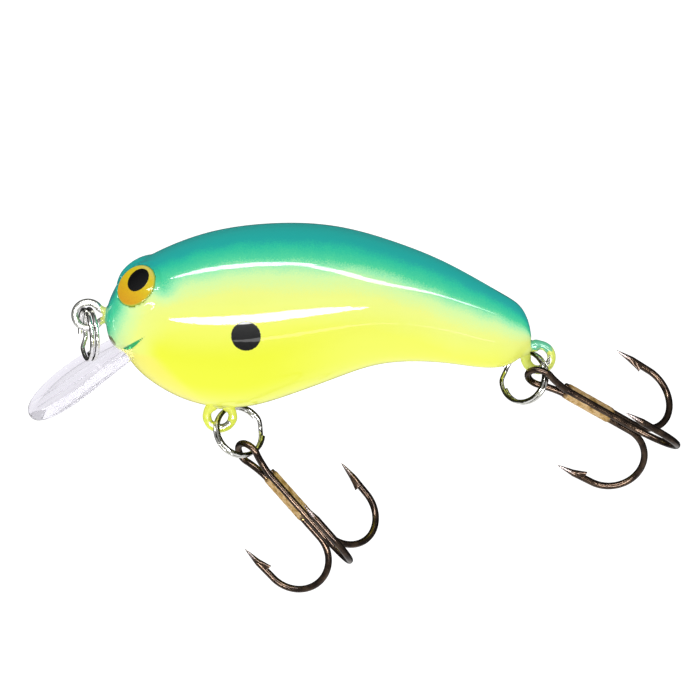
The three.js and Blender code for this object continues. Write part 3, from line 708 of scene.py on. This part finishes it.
def eye_disc(hand, side, material):
    """A domed disc with a rounded edge, set into its socket."""
    centre, normal, upward, backward = eye_axes(side)
    edge = [(0.965, 0.01), (0.985, 0.035), (0.997, 0.09), (1.0, 0.18), (1.0, 0.5), (0.99, 0.6), (0.6, 0.6)]
    top = [(share, 0.0) for share in np.linspace(0, 0.94, 22)]
    across, drop = np.array(top + edge).T
    dome = EYE_DOME * (1 - across**2)
    height = EYE_EDGE_HEIGHT - drop + np.where(drop < 0.1, dome, 0)
    turns = turns_round(96)
    u = EYE_RADIUS * np.outer(across, np.sin(turns))
    v = EYE_RADIUS * np.outer(across, np.cos(turns))
    points = centre + u[..., None] * upward + v[..., None] * backward
    points += height[:, None, None] * normal
    rows, columns = u.shape
    faces = grid_faces(rows, columns, wrap=True)
    faces.append(list(range((rows - 1) * columns, rows * columns)))
    pupil = np.hypot((u - PUPIL_CENTRE[0]) / PUPIL_AXES[0], (v - PUPIL_CENTRE[1]) / PUPIL_AXES[1])
    pupil = (pupil - 1) * PUPIL_AXES[1]
    attributes = {
        "pupil": pupil.ravel(),
        "height": ((u + 0.35 * v) / EYE_RADIUS * 0.5 + 0.5).ravel(),
        "edge": np.repeat(across, columns),
    }
    make_piece(f"eye_disc_{hand}", points.reshape(-1, 3), faces, material, "body",
               [f"eye_{hand}"], attributes)


eye_gold = eye_paint()
for side, hand in HANDS:
    eye_disc(hand, side, eye_gold)


# ===== Diving lip =====

LIP_ROOT = np.array([3.6, 0, -3.66])
LIP_ANGLE = math.radians(34.2)
LIP_THICKNESS = 1.4
LIP_FOOT_X, LIP_FOOT_HALF = -6.2, 2.9
LIP_HALF_OUTLINE = [
    (LIP_FOOT_X, LIP_FOOT_HALF), (-3.4, LIP_FOOT_HALF), (-1.2, 4.6), (1.5, 5.8), (4.5, 7.2), (7.5, 7.75),
    (10.2, 6.9), (12.1, 4.9), (13.2, 2.5), (13.5, 0),
]
LIP_SPINE = (-4.5, 6.2)
LIP_EDGE_ROUND = 0.36
LIP_RIM_HEIGHT = 0.05
LIP_KEEL_HEIGHT = 0.1


def lip_height(from_edge, y):
    """Half the lip's thickness at a place: rounded edge, low rim inside it and a keel on the middle."""
    share = np.clip(from_edge / LIP_EDGE_ROUND, 0, 1)
    edge = np.sqrt(1 - (1 - share) ** 2)
    rim = LIP_RIM_HEIGHT * (smooth(from_edge, 0.15, 0.45) - smooth(from_edge, 0.8, 1.25))
    keel = LIP_KEEL_HEIGHT * (1 - smooth(np.abs(y), 0.12, 0.42)) * smooth(from_edge, 0.4, 1.0)
    return (LIP_THICKNESS / 2 - LIP_RIM_HEIGHT + np.minimum(rim + keel, LIP_RIM_HEIGHT)) * edge


def diving_lip(material):
    """The lip as rows of points that run in from its outline to a spine, on both faces."""
    half = spline(LIP_HALF_OUTLINE, 90)
    half = half[np.argmin(np.abs(half[:, 0] + 3.6)) :]
    foot = [(LIP_FOOT_X, LIP_FOOT_HALF), (-5.0, LIP_FOOT_HALF)]
    half = np.concatenate([foot, half])
    outline = np.concatenate([half, half[-2::-1] * [1, -1], [(LIP_FOOT_X, -1.4), (LIP_FOOT_X, 1.4)]])
    spine = np.stack([np.clip(outline[:, 0], *LIP_SPINE), np.zeros(len(outline))], axis=1)
    reach = np.linalg.norm(outline - spine, axis=1)
    rows = [np.minimum(distance, reach * 0.4)
            for distance in (0, 0.015, 0.06, 0.13, 0.22, 0.33, 0.46, 0.65, 0.85, 1.05, 1.3)]
    rows += [np.maximum(reach * share, rows[-1]) for share in (0.45, 0.6, 0.75, 0.86, 0.93, 0.97, 1.0)]
    rows = np.array(rows)
    place = outline + (spine - outline) / reach[:, None] * rows[..., None]
    height = lip_height(rows, place[..., 1])
    flat = np.concatenate([place[::-1], place[1:]])
    height = np.concatenate([height[::-1], -height[1:]])
    forward = np.array([-math.cos(LIP_ANGLE), 0, -math.sin(LIP_ANGLE)])
    upward = np.cross(Y_AXIS, forward)
    points = LIP_ROOT + flat[..., :1] * forward + flat[..., 1:] * Y_AXIS
    points += (height - LIP_THICKNESS / 2)[..., None] * upward
    make_piece("diving_lip_clear", points.reshape(-1, 3), grid_faces(*height.shape, wrap=True),
               material, "body", ["diving_lip"])


diving_lip(clear_lip())


# ===== Wire eyes =====

HANGER_WIRE = 0.85
HANGER_LEG_GAP = 0.06
HANGER_STEP = 0.09


def hanger_wire(name, material, paint_depth, seed):
    """A loop of wire whose two legs run side by side into the body."""
    joint, (inward_x, inward_z), _, hole, shank = HANGERS[name]
    radius = (hole + HANGER_WIRE) / 2
    leg = (HANGER_WIRE + HANGER_LEG_GAP) / 2
    turns = np.linspace(math.pi, math.asin(leg / radius) + 0.28, 40)
    half = np.stack([radius * np.cos(turns), radius * np.sin(turns)], axis=1)
    neck = spline([half[-4], half[-1], (radius + 0.55, leg), (radius + 1.2, leg), (shank - 0.4, leg)], 40)
    half = np.concatenate([half[:-4], neck])
    whole = np.concatenate([half[:0:-1] * [1, -1], half])
    along = unit([inward_x, 0, inward_z])
    side = np.array([-along[2], 0, along[0]])
    centre = joint_place(joint)
    path = resample(centre + whole[:, :1] * along + whole[:, 1:] * side, HANGER_STEP)
    places = np.arange(len(path))
    lumps = np.random.default_rng(seed).normal(0, 1, (len(path) + 5) // 6)
    lumps = np.interp(places, places[::6], lumps)
    inside = smooth((path - centre) @ along, 0.6, 1.9)
    thickness = paint_depth * (1 + 0.35 * lumps + 2.2 * inside)
    points, faces = sweep(path, HANGER_WIRE / 2 + thickness, 24, (0, 1, 0))
    offset = points - centre
    if paint_depth:
        bare = np.where(np.linalg.norm(offset, axis=1) < radius, smooth(-(offset @ along), 0.0, 1.2), 0)
    else:
        bare = 1 - smooth(offset @ along, 1.25, 1.75)
    make_piece(f"{name}_wire", points, faces, material, "body", [name], {"bare": bare})


for seed, (name, slot, paint_depth, *tones) in enumerate([
    ("line_tie", "bright_wire", 0.0, srgb(236, 244, 120), srgb(238, 246, 140), -1, 1),
    ("belly_hanger", "painted_wire", 0.1, srgb(232, 244, 60), srgb(244, 250, 90), -14, -11),
    ("tail_hanger", "painted_wire", 0.1, srgb(236, 248, 100), srgb(96, 205, 160), -4.5, -3.9),
], start=1):
    hanger_wire(name, painted_wire(f"{name}_wire", *tones), paint_depth, seed)


# ===== Split rings =====

RING_WIRE = 0.52
RING_RADIUS = 2.97
RING_COIL_STEP = 0.62
RING_COIL_ANGLE = 672
RING_KINK = (322, 356)
RING_KINK_AT = 235
RING_STEP = 2.5
RING_SIDES = 20
# Each ring's body and joint, side of its hanger (x, z), wire's way there, slant and rise.
RINGS = {
    "nose_split_ring": ("nose_ring", "nose_ring_swing", (0, 1), (1, 0), 72, 0.6),
    "belly_split_ring": ("belly_ring", "belly_ring_swing", (-0.77, 0.64), (-0.64, -0.77), 44, 0),
    "tail_split_ring": ("tail_ring", "tail_ring_swing", (0.565, 0.825), (0.825, -0.565), 44, 0),
}


def ring_frame(name):
    """The ring's centre and its axes: towards the hanger, along its wire there, and its own axis."""
    _, joint, to_hanger, along, slant, rise = RINGS[name]
    radial = unit([to_hanger[0], 0, to_hanger[1]])
    tilt = math.radians(slant)
    tangent = unit([along[0], 0, along[1]]) * math.cos(tilt) - Y_AXIS * math.sin(tilt)
    return joint_place(joint) + radial * (rise - RING_RADIUS), radial, tangent, np.cross(radial, tangent)


def split_ring(name, material):
    """Nearly two turns of wire that step over sideways at the kink."""
    centre, radial, tangent, axis = ring_frame(name)
    turned = np.arange(0, RING_COIL_ANGLE + 0.1, RING_STEP)
    angle = np.radians(RING_KINK_AT - sum(RING_KINK) / 2 + turned)[:, None]
    path = centre + RING_RADIUS * (np.cos(angle) * radial + np.sin(angle) * tangent)
    path += np.outer(RING_COIL_STEP * (smooth(turned, *RING_KINK) - 0.5), axis)
    path, radii = with_blunt_ends(path, RING_WIRE / 2)
    points, faces = sweep(path, radii, RING_SIDES, axis)
    middle = np.concatenate([np.repeat(path, RING_SIDES, axis=0), path[:1], path[-1:]])
    groove = np.abs((points - middle) @ axis) / (RING_WIRE / 2)
    make_piece(f"{name}_coil", points, faces, material, RINGS[name][0], [name],
               {"groove": groove})


nickel = ring_nickel()
for name in RINGS:
    split_ring(name, nickel)


# ===== Treble hooks =====

HOOK_WIRE = 0.82
HOOK_OFFSET = (HOOK_WIRE + 0.06) / math.sqrt(3)
HOOK_EYE_HOLE = 2.1
HOOK_EYE_OPENING = 0.95
HOOK_NECK = (2.4, 0.2)
HOOK_SHANK_X = 3.5
SINGLE_HOOK_START_X = 3.3
HOOK_BEND_X = 13.0
HOOK_BEND_RADIUS = 4.1
HOOK_POINT = np.array([8.4, 8.95])
HOOK_TAPER = 2.3
BARB_START, BARB_TIP, BARB_HEIGHT = 10.4, 12.0, 0.55
BRAZE_FROM, BRAZE_TO = 3.7, 10.0
BRAZE_SKIN, BRAZE_VALLEY = 0.09, 0.72
HOOK_STEP = 0.1
HOOK_SIDES = 20
HOOK_JOIN = 6
# Each treble's ring and place round it, then its pitch, yaw, roll and slack.
TREBLES = {
    "belly_treble": ("belly_split_ring", 146, 47.5, -11, 18, 0.1),
    "tail_treble": ("tail_split_ring", 60, 31.8, 6, 21, 0.7),
}


def hook_direction(index):
    """The hooks stand 120 degrees apart round the shank: one along z, two at 120 degrees from it."""
    angle = 2 * math.pi * index / 3
    return np.array([0, math.sin(angle), math.cos(angle)])


def hook_profile(from_x):
    """One hook from its shank to its point, as distances along and out from the treble's axis."""
    shank = [[x, HOOK_OFFSET] for x in np.arange(from_x, HOOK_BEND_X - 0.5 * HOOK_STEP, HOOK_STEP)]
    turns = np.linspace(0, math.pi, 110)
    bend = np.stack([
        HOOK_BEND_X + HOOK_BEND_RADIUS * np.sin(turns),
        HOOK_OFFSET + HOOK_BEND_RADIUS * (1 - np.cos(turns)),
    ], axis=1)
    shares = np.concatenate([np.linspace(0.02, 0.2, 8), np.linspace(0.21, 1, 75)])[:, None]
    point = bend[-1] * (1 - shares) + HOOK_POINT * shares
    return np.concatenate([np.array(shank), bend, point])


def hook_wire_shape(profile):
    """The wire's radius and its barb's height at each place of the profile."""
    on_point = (profile[:, 1] > HOOK_OFFSET + HOOK_BEND_RADIUS) & (profile[:, 0] < HOOK_BEND_X)
    from_tip = profile[:, 0] - HOOK_POINT[0]
    taper = np.minimum(1, 0.03 + 0.97 * (np.maximum(from_tip, 0) / HOOK_TAPER) ** 0.8)
    radius = HOOK_WIRE / 2 * np.where(on_point, taper, 1)
    along_barb = np.clip((profile[:, 0] - BARB_START) / (BARB_TIP - BARB_START), 0, 1)
    barb = np.where(on_point & (profile[:, 0] <= BARB_TIP + 0.02), BARB_HEIGHT * along_barb**1.1, 0)
    return radius, barb


def arm(profile, index):
    """One hook's path in the treble's own axes."""
    return profile[:, 1:] * hook_direction(index) + profile[:, :1] * np.array([1.0, 0, 0])


def treble_frame(name):
    """The treble's origin in its eye, and its axes: along the shank, across it, to the single hook."""
    ring, ring_angle, pitch, yaw, roll, slack = TREBLES[name]
    down, aside, turned = (math.radians(value) for value in (pitch, yaw, roll + 120))
    centre, radial, tangent, _ = ring_frame(ring)
    around = math.radians(ring_angle)
    on_ring = centre + RING_RADIUS * (math.cos(around) * radial + math.sin(around) * tangent)
    shank = np.array([math.cos(down), 0, -math.sin(down)]) * math.cos(aside) + Y_AXIS * math.sin(aside)
    upward = np.array([math.sin(down), 0, math.cos(down)])
    leftward = np.cross(shank, upward)
    single = leftward * math.cos(turned) + upward * math.sin(turned)
    across = np.cross(single, shank)
    plane_shift = hook_direction(1)[2] * HOOK_OFFSET
    origin = on_ring - single * plane_shift - shank * slack
    return origin, np.stack([shank, across, single])


def barb_shape(barb, direction_at):
    """Raises the barb's thin sliver on the side of the wire that faces the shank."""
    def shape(i, out):
        facing = np.maximum(0, out @ -direction_at(i)) ** 7
        return np.outer(facing * barb[i], -direction_at(i))
    return shape


def hook_masks(points, covered):
    """Masks for the hook's look: brazed along the shank, and bright towards the point."""
    x, from_axis = points[:, 0], np.hypot(points[:, 1], points[:, 2])
    on_shank = from_axis < HOOK_OFFSET + HOOK_WIRE
    brazed = smooth(x, BRAZE_FROM - 0.5, BRAZE_FROM + 0.3) * (1 - smooth(x, BRAZE_TO - 0.2, BRAZE_TO + 0.6))
    tip = 1 - smooth(x, HOOK_POINT[0] + 0.4, HOOK_POINT[0] + 3.2)
    return {"brazed": brazed * on_shank * covered, "point": np.where(from_axis > 6, tip, 0)}


def double_hook(name, material):
    """Two hooks bent from one wire, whose middle is the treble's eye."""
    origin, axes = treble_frame(name)
    profile = hook_profile(HOOK_SHANK_X)
    radius = (HOOK_EYE_HOLE + HOOK_WIRE) / 2
    _, shank_y, shank_z = hook_direction(1) * HOOK_OFFSET
    turns = np.linspace(HOOK_EYE_OPENING, 2 * math.pi - HOOK_EYE_OPENING, 90)
    eye = np.stack([radius * np.cos(turns), radius * np.sin(turns), np.full(90, shank_z)], axis=1)
    arms = [arm(profile, index) for index in (1, 2)]
    necks = []
    for turn, the_arm, end in ((1, arms[0], eye[:3]), (-1, arms[1], eye[-3:][::-1])):
        place = [HOOK_NECK[0], turn * (shank_y + HOOK_NECK[1]), shank_z]
        neck = spline([the_arm[HOOK_JOIN], the_arm[3], the_arm[0], place, end[0], end[2]], 60)
        necks.append(neck[8:-4])
    first_arm, second_arm = arms[0][HOOK_JOIN:][::-1], arms[1][HOOK_JOIN:]
    path = np.concatenate([first_arm, necks[0], eye[3:-3], necks[1][::-1], second_arm])
    radii, barbs = (values[HOOK_JOIN:] for values in hook_wire_shape(profile))
    middle = len(path) - 2 * len(radii)
    radii = np.concatenate([radii[::-1], np.full(middle, HOOK_WIRE / 2), radii])
    barbs = np.concatenate([barbs[::-1], np.zeros(middle), barbs])
    shape = barb_shape(barbs, lambda i: hook_direction(1 if i < len(path) / 2 else 2))
    points, faces = sweep(path, radii, HOOK_SIDES, (0, 0, 1), shape)
    make_piece(f"{name}_double_hook", origin + points @ axes, faces, material, name,
               [f"{name}_double"], hook_masks(points, points[:, 1] > 0))


def single_hook(name, material):
    """The third hook, with a rounded upper end, brazed along the other two."""
    origin, axes = treble_frame(name)
    profile = hook_profile(SINGLE_HOOK_START_X)
    radii, barbs = hook_wire_shape(profile)
    radii[:3] *= [0.86, 0.97, 1.0]
    shape = barb_shape(barbs, lambda i: hook_direction(0))
    points, faces = sweep(arm(profile, 0), radii, HOOK_SIDES, (0, 1, 0), shape)
    make_piece(f"{name}_single_hook", origin + points @ axes, faces, material, name,
               [f"{name}_single"], hook_masks(points, 1.0))


def braze_radius(x, angles, tip, wave):
    """How far the braze stands from the shank's axis at each angle; tip falls from 1 to 0 at its ends."""
    radius = np.zeros(len(angles))
    for index, skin in enumerate((BRAZE_SKIN, BRAZE_SKIN, -0.06)):
        swing = angles - 2 * math.pi * index / 3
        outer = HOOK_WIRE / 2 + skin - 0.12 * (1 - tip)
        inside = outer**2 - (HOOK_OFFSET * np.sin(swing)) ** 2
        reach = HOOK_OFFSET * np.cos(swing) + np.sqrt(np.maximum(inside, 0))
        radius = np.maximum(radius, np.where((inside > 0) & (np.cos(swing) > 0), reach, 0))
    valley = BRAZE_VALLEY + 0.02 * math.sin(1.7 * x + wave[0]) + 0.015 * math.sin(4.1 * x + wave[1])
    radius = np.maximum(radius, valley * (0.75 + 0.25 * tip))
    return radius + 0.012 * np.sin(3 * angles + 2.3 * x + wave[2]) * np.sin(5.0 * x + wave[3])


def braze_sleeve(name, material, seed):
    """The brazing metal: a thin coat over two shanks that fills the valleys to the third."""
    origin, axes = treble_frame(name)
    wave = np.random.default_rng(seed).uniform(0, 2 * math.pi, 5)
    stations = np.linspace(BRAZE_FROM - 0.1, BRAZE_TO + 0.1, 70)
    from_end = np.minimum(stations - stations[0], stations[-1] - stations)
    sides = 72
    angles = turns_round(sides)
    rings = []
    for x, tip in zip(stations, np.sqrt(np.minimum(1, from_end / 0.35))):
        radius = braze_radius(x, angles, tip, wave)
        rings.append(np.stack([np.full(sides, x), radius * np.sin(angles), radius * np.cos(angles)], axis=1))
    points = np.concatenate([*rings, [[stations[0], 0, 0], [stations[-1], 0, 0]]])
    faces = tube_faces(len(stations), sides)
    ends = np.repeat(1 - np.minimum(1, from_end / 0.9), sides)
    make_piece(f"{name}_braze_sleeve", origin + points @ axes, faces, material, name,
               [f"{name}_braze"], {"end": np.concatenate([ends, [1, 1]])})


bronze = hook_bronze()
braze = braze_metal()
for seed, name in enumerate(TREBLES):
    double_hook(name, bronze)
    single_hook(name, bronze)
    braze_sleeve(name, braze, seed)


# ===== Inside the body =====

SLUG_CHAMFER = 0.25


def turned_piece(name, node, profile_of, sides, material, body):
    """A piece turned about Y, as big as its CAD node. profile_of(half length, radius) gives (y, radius)."""
    low, high = box_mm(node)
    profile = profile_of((high[1] - low[1]) / 2, (high[0] - low[0]) / 2)
    turns = turns_round(sides)
    rings = [np.stack([r * np.cos(turns), np.full(sides, y), r * np.sin(turns)], axis=1) for y, r in profile]
    points = np.concatenate(rings)
    faces = grid_faces(len(profile), sides, wrap=True)
    faces += [list(range(sides)), list(range(len(points) - sides, len(points)))]
    make_piece(name, points + (low + high) / 2, faces, material, body, [node])


def slug_profile(half, radius):
    """A short rod with its corners taken off."""
    corner = [(half - SLUG_CHAMFER, radius), (half - 0.08, radius - 0.09), (half, radius - SLUG_CHAMFER)]
    return [(-y, r) for y, r in corner[::-1]] + corner


def ball_profile(radius, _):
    """A ball as wide as its node is along Y."""
    latitudes = np.linspace(-math.pi / 2 + 0.03, math.pi / 2 - 0.03, 33)
    return [(radius * math.sin(a), radius * math.cos(a)) for a in latitudes]


lead = metal("ballast_lead", srgb(120, 122, 126), srgb(84, 86, 90), 0.6, 0.25, 0.8).material
ball_steel = metal("rattle_steel", srgb(214, 216, 220), srgb(190, 192, 198), 0.12, 0.3, 0.1).material
turned_piece("ballast_slug", "ballast_weight", slug_profile, 64, lead, "body")
for index in (1, 2, 3):
    turned_piece(f"rattle_steel_ball_{index}", f"rattle_ball_{index}", ball_profile, 48, ball_steel,
                 f"rattle_{index}")


# ===== Studio =====

CAMERA_ELEVATION = 17
VIEW_WIDTH = 82.35
VIEW_CENTRE = (30.7, -4.1)
CAMERA_LENS = 180
SENSOR_WIDTH = 36
FLOOR_REACH = 6.0


def direction_of(azimuth, elevation):
    """A direction from the lure: azimuth 0 is towards the camera's side, -Y; 90 is towards +X."""
    a, e = math.radians(azimuth), math.radians(elevation)
    return np.array([math.sin(a) * math.cos(e), -math.cos(a) * math.cos(e), math.sin(e)])


def strip_light(name, start, end, thickness, radiance, glint=True, distance=330):
    """A light from one direction to another, radiance times as bright as white paper, thickness in degrees.

    A glint is seen only in reflections. Any other light is never seen in them.
    """
    first, last = (direction_of(*place) * distance for place in (start, end))
    light = bpy.data.lights.new(name, "AREA")
    light.shape = "ELLIPSE" if glint else "RECTANGLE"
    light.size = float(np.linalg.norm(last - first)) * MM
    light.size_y = 2 * distance * math.tan(math.radians(thickness / 2)) * MM
    light.energy = radiance * math.pi * light.size * light.size_y * (math.pi / 4 if glint else 1)
    lamp = add_object(name, light)
    along = Vector(unit(last - first))
    away = Vector(unit(first + last))
    away = (away - along * away.dot(along)).normalized()
    turn = Matrix((along, away.cross(along), away)).transposed()
    middle = (BODY_LOW + BODY_HIGH) / 2 * [1, 0, 1]
    lamp.matrix_world = Matrix.Translation(Vector((middle + (first + last) / 2) * MM)) @ turn.to_4x4()
    lamp.visible_camera = False
    lamp.visible_diffuse, lamp.visible_glossy = not glint, glint


def studio_floor(drop, glow):
    """A wide pale light table below the hooks."""
    look = Look("studio_floor", Roughness=0.7, Specular_IOR_Level=0.1, Emission_Strength=glow)
    look.drive("Emission Color", (1.0, 1.0, 1.0, 1.0))
    look.drive("Base Color", look.mix(look.noise(30), (0.93, 0.93, 0.93, 1), (0.96, 0.96, 0.96, 1)))
    level = CAD_BOX[0][2] - drop * MM
    corners = [(FLOOR_REACH * x, FLOOR_REACH * y, level) for x, y in ((-1, -1), (1, -1), (1, 1), (-1, 1))]
    mesh = bpy.data.meshes.new("studio_floor")
    mesh.from_pydata(corners, [], [(0, 1, 2, 3)])
    mesh.materials.append(look.material)
    floor = add_object("studio_floor", mesh)
    floor.visible_glossy = False


def studio_world(strength, front_sheen, back_sheen, floor_sheen):
    """An even white tent. Reflections see it darker, darkest behind the lure, and pale below it."""
    world = bpy.data.worlds.new("studio")
    world.use_nodes = True
    tree = world.node_tree
    background = tree.nodes["Background"].inputs
    background["Color"].default_value = (1, 1, 1, 1)

    def shade(value, low, high, start, end):
        inputs = {"Value": value, "From Min": low, "From Max": high, "To Min": start, "To Max": end}
        return add_node(tree, "MapRange", inputs).outputs[0]

    def choose(share, a, b):
        return add_node(tree, "Mix", {0: share, 2: a, 3: b}).outputs[0]

    place = add_node(tree, "TexCoord").outputs["Generated"]
    facing = add_node(tree, "SeparateXYZ", {0: place}).outputs
    rays = add_node(tree, "LightPath").outputs
    behind = shade(facing["Y"], -0.3, 0.3, front_sheen, back_sheen)
    sheen = shade(facing["Z"], -0.75, -0.5, floor_sheen, behind)
    mirrored = add_node(tree, "Math", {0: rays["Is Glossy Ray"], 1: rays["Is Transmission Ray"]},
                        operation="SUBTRACT", use_clamp=True).outputs[0]
    lit = choose(mirrored, strength, sheen)
    put(tree, background["Strength"], choose(rays["Is Camera Ray"], lit, 1.0))
    bpy.context.scene.world = world


def camera():
    """A long lens at the photograph's viewing angle."""
    data = bpy.data.cameras.new("camera")
    data.lens, data.sensor_width = CAMERA_LENS, SENSOR_WIDTH
    data.clip_start, data.clip_end = 0.01, 20
    away = direction_of(0, CAMERA_ELEVATION)
    target = np.array([VIEW_CENTRE[0], 0, VIEW_CENTRE[1] / math.cos(math.radians(CAMERA_ELEVATION))])
    eye = add_object("camera", data)
    eye.location = (target + away * VIEW_WIDTH * CAMERA_LENS / SENSOR_WIDTH) * MM
    eye.rotation_euler = Vector(-away).to_track_quat("-Z", "Y").to_euler()
    bpy.context.scene.camera = eye


studio_floor(drop=250, glow=0.45)
studio_world(0.76, 0.4, 0.07, 0.9)
strip_light("key_box", (-50, 42), (0, 42), 28, 1.6, glint=False, distance=420)
strip_light("middle_band", (-31, -2.4), (26, -9.8), 6, 42)
strip_light("upper_band", (-54, 43), (12, 46), 5.5, 34)
strip_light("upper_band_tailward", (2, 47.5), (40, 12), 4.5, 30)
strip_light("lower_band", (-8, -19.5), (30, -25), 2.4, 5)
camera()
bpy.context.scene.view_settings.view_transform = "Standard"
